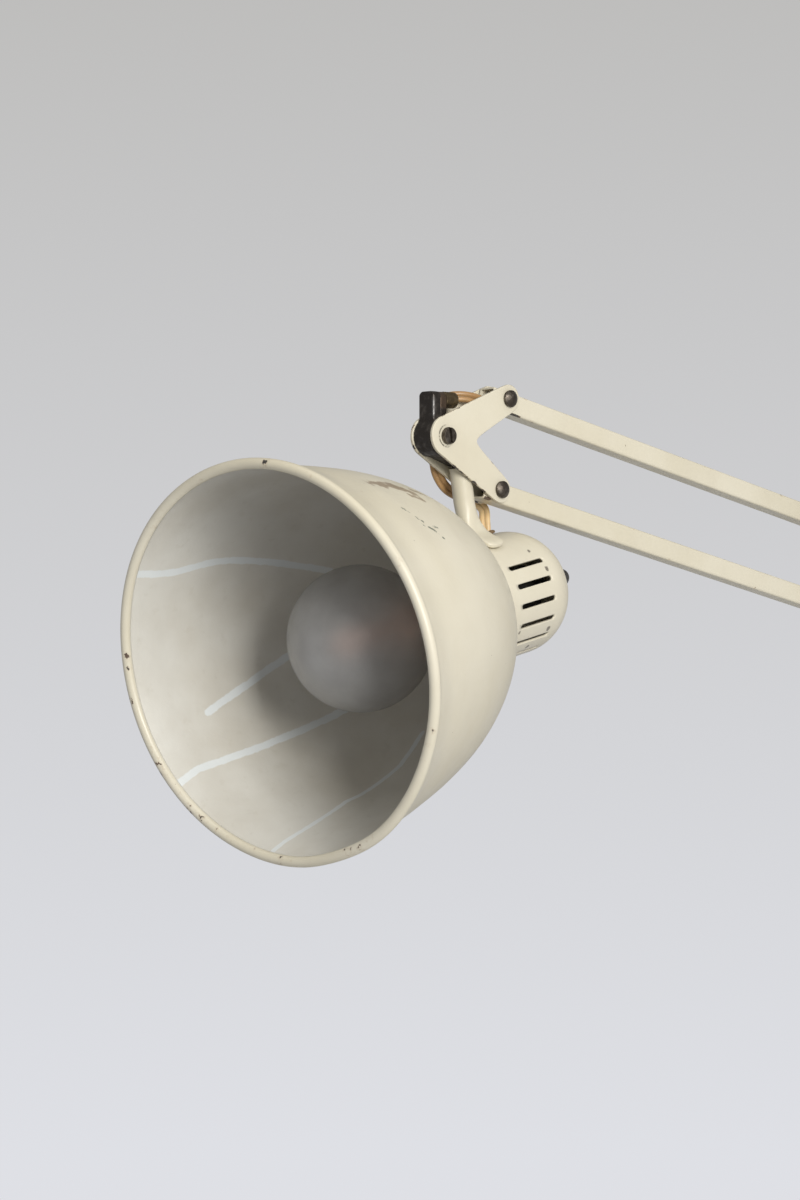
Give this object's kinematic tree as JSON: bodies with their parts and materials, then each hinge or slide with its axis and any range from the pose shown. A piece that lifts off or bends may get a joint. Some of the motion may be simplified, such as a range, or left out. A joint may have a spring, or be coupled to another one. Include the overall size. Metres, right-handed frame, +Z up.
{
  "type": "desk lamp",
  "caption": "Architect desk lamp: spun metal shade on a sprung parallelogram arm with tilting, swivelling head, rotary rear switch and heavy round base.",
  "frame": {"origin": "centre of the foot pad's underside, on the base's swivel axis", "axes": "+Z up; the arms move in the XZ plane; the shade is on the -X side and the elbow on the +X side"},
  "size_m": [0.6545, 0.22, 0.628],
  "materials": {
    "cream_paint": "worn semi-gloss enamel",
    "felt": "pressed felt",
    "plated_brass": "dull plating",
    "dark_casting": "dark patinated casting",
    "dark_steel": "browned steel",
    "knurled_brass": "tarnished, knurled",
    "spring_steel": "satin",
    "bakelite": "polished black moulding",
    "frosted_glass": "frosted",
    "amber_flex": "amber two-core flex"
  },
  "bodies": {
    "base": {"base_casting": "cream_paint", "felt_pad": "felt", "swivel_bush": "plated_brass", "flex_in_base": "amber_flex", "strain_relief": "bakelite", "flex_lead": "amber_flex", "flex_coil": "amber_flex", "coil_tie": "bakelite", "plug_body": "bakelite", "plug_pins": "plated_brass", "flex_tail": "amber_flex"},
    "turntable": {"swivel_post": "dark_casting", "retaining_ring": "dark_steel", "base_plate_near": "cream_paint", "base_plate_far": "cream_paint", "base_pin_front": "dark_steel", "base_pin_rear": "dark_steel", "base_spring_pin": "dark_steel", "post_bolt": "dark_steel"},
    "lower_front": {"lower_front_bar": "cream_paint", "lower_hook_pin": "dark_steel", "lower_spring_near": "spring_steel", "lower_spring_far": "spring_steel", "flex_at_base": "amber_flex"},
    "lower_rear": {"lower_rear_bar": "cream_paint"},
    "elbow": {"elbow_plate_near": "cream_paint", "elbow_plate_far": "cream_paint", "elbow_pin_lower_front": "dark_steel", "elbow_pin_lower_rear": "dark_steel", "elbow_pin_upper_bottom": "dark_steel", "elbow_pin_upper_top": "dark_steel", "elbow_spring_pin": "dark_steel", "flex_at_elbow_lower": "amber_flex"},
    "upper_top": {"upper_top_bar": "cream_paint", "upper_hook_pin": "dark_steel", "upper_spring_near": "spring_steel", "upper_spring_far": "spring_steel", "flex_at_elbow_upper": "amber_flex"},
    "upper_bottom": {"upper_bottom_bar": "cream_paint"},
    "head_bracket": {"head_plate_near": "cream_paint", "head_plate_far": "cream_paint", "head_pin_top": "dark_steel", "head_pin_bottom": "dark_steel", "pivot_screw": "dark_steel", "pivot_nut": "dark_steel", "flex_to_upper_bar": "amber_flex", "flex_round_knuckle": "amber_flex"},
    "knuckle": {"knuckle": "dark_casting"},
    "clamp": {"clamp_screw": "knurled_brass"},
    "shade": {"stem": "cream_paint", "stem_rivet": "dark_steel", "shade_bell": "cream_paint", "shade_cap": "cream_paint", "bulb_glass": "frosted_glass", "bulb_screw_cap": "plated_brass", "lampholder": "bakelite", "switch_body": "bakelite", "flex_grommet": "bakelite", "flex_cap_to_knuckle": "amber_flex"},
    "knob": {"switch_knob": "bakelite"}
  },
  "joints": [
    {"name": "base_swivel", "type": "hinge", "parent": "base", "child": "turntable", "pos_m": [0, 0, 0.05], "axis": [0, 0, 1], "range_deg": [-170, 170], "deforming": ["flex_in_base"]},
    {"name": "lower_arm", "type": "hinge", "parent": "turntable", "child": "lower_front", "pos_m": [-0.019, 0, 0.104], "axis": [0, 1, 0], "range_deg": [-25, 20], "deforming": ["lower_spring_near", "lower_spring_far", "flex_at_base"]},
    {"name": "lower_rear_follow", "type": "hinge", "parent": "turntable", "child": "lower_rear", "pos_m": [0.0195, 0, 0.096], "axis": [0, 1, 0], "range_deg": [-25, 20]},
    {"name": "elbow_level", "type": "hinge", "parent": "lower_front", "child": "elbow", "pos_m": [0.12522, 0, 0.46097], "axis": [0, 1, 0], "range_deg": [-20, 25], "deforming": ["flex_at_elbow_lower"]},
    {"name": "upper_arm", "type": "hinge", "parent": "elbow", "child": "upper_top", "pos_m": [0.13632, 0, 0.53187], "axis": [0, 1, 0], "range_deg": [-35, 18], "deforming": ["upper_spring_near", "upper_spring_far", "flex_at_elbow_upper"]},
    {"name": "upper_bottom_follow", "type": "hinge", "parent": "elbow", "child": "upper_bottom", "pos_m": [0.13122, 0, 0.49097], "axis": [0, 1, 0], "range_deg": [-35, 18]},
    {"name": "head_level", "type": "hinge", "parent": "upper_top", "child": "head_bracket", "pos_m": [-0.28422, 0, 0.62156], "axis": [0, 1, 0], "range_deg": [-18, 35], "deforming": ["flex_to_upper_bar"]},
    {"name": "head_tilt", "type": "hinge", "parent": "head_bracket", "child": "knuckle", "pos_m": [-0.32262, 0, 0.60336], "axis": [0, 1, 0], "range_deg": [-5, 80], "deforming": ["flex_round_knuckle"]},
    {"name": "head_swivel", "type": "hinge", "parent": "knuckle", "child": "shade", "pos_m": [-0.31062, 0, 0.60336], "axis": [-0.1805, 0, 0.9836], "range_deg": [-95, 80], "deforming": ["flex_cap_to_knuckle"]},
    {"name": "clamp_turn", "type": "hinge", "parent": "knuckle", "child": "clamp", "pos_m": [-0.32262, 0, 0.61976], "axis": [1, 0, 0], "range_deg": [0, 270]},
    {"name": "switch_turn", "type": "hinge", "parent": "shade", "child": "knob", "pos_m": [-0.23833, 0.00926, 0.54068], "axis": [0.972, 0.153, 0.1784], "continuous": true}
  ],
  "couplings": [
    {"joint": "lower_rear_follow", "follows": "lower_arm", "ratio": 1},
    {"joint": "elbow_level", "follows": "lower_arm", "ratio": -1},
    {"joint": "upper_bottom_follow", "follows": "upper_arm", "ratio": 1},
    {"joint": "head_level", "follows": "upper_arm", "ratio": -1}
  ]
}
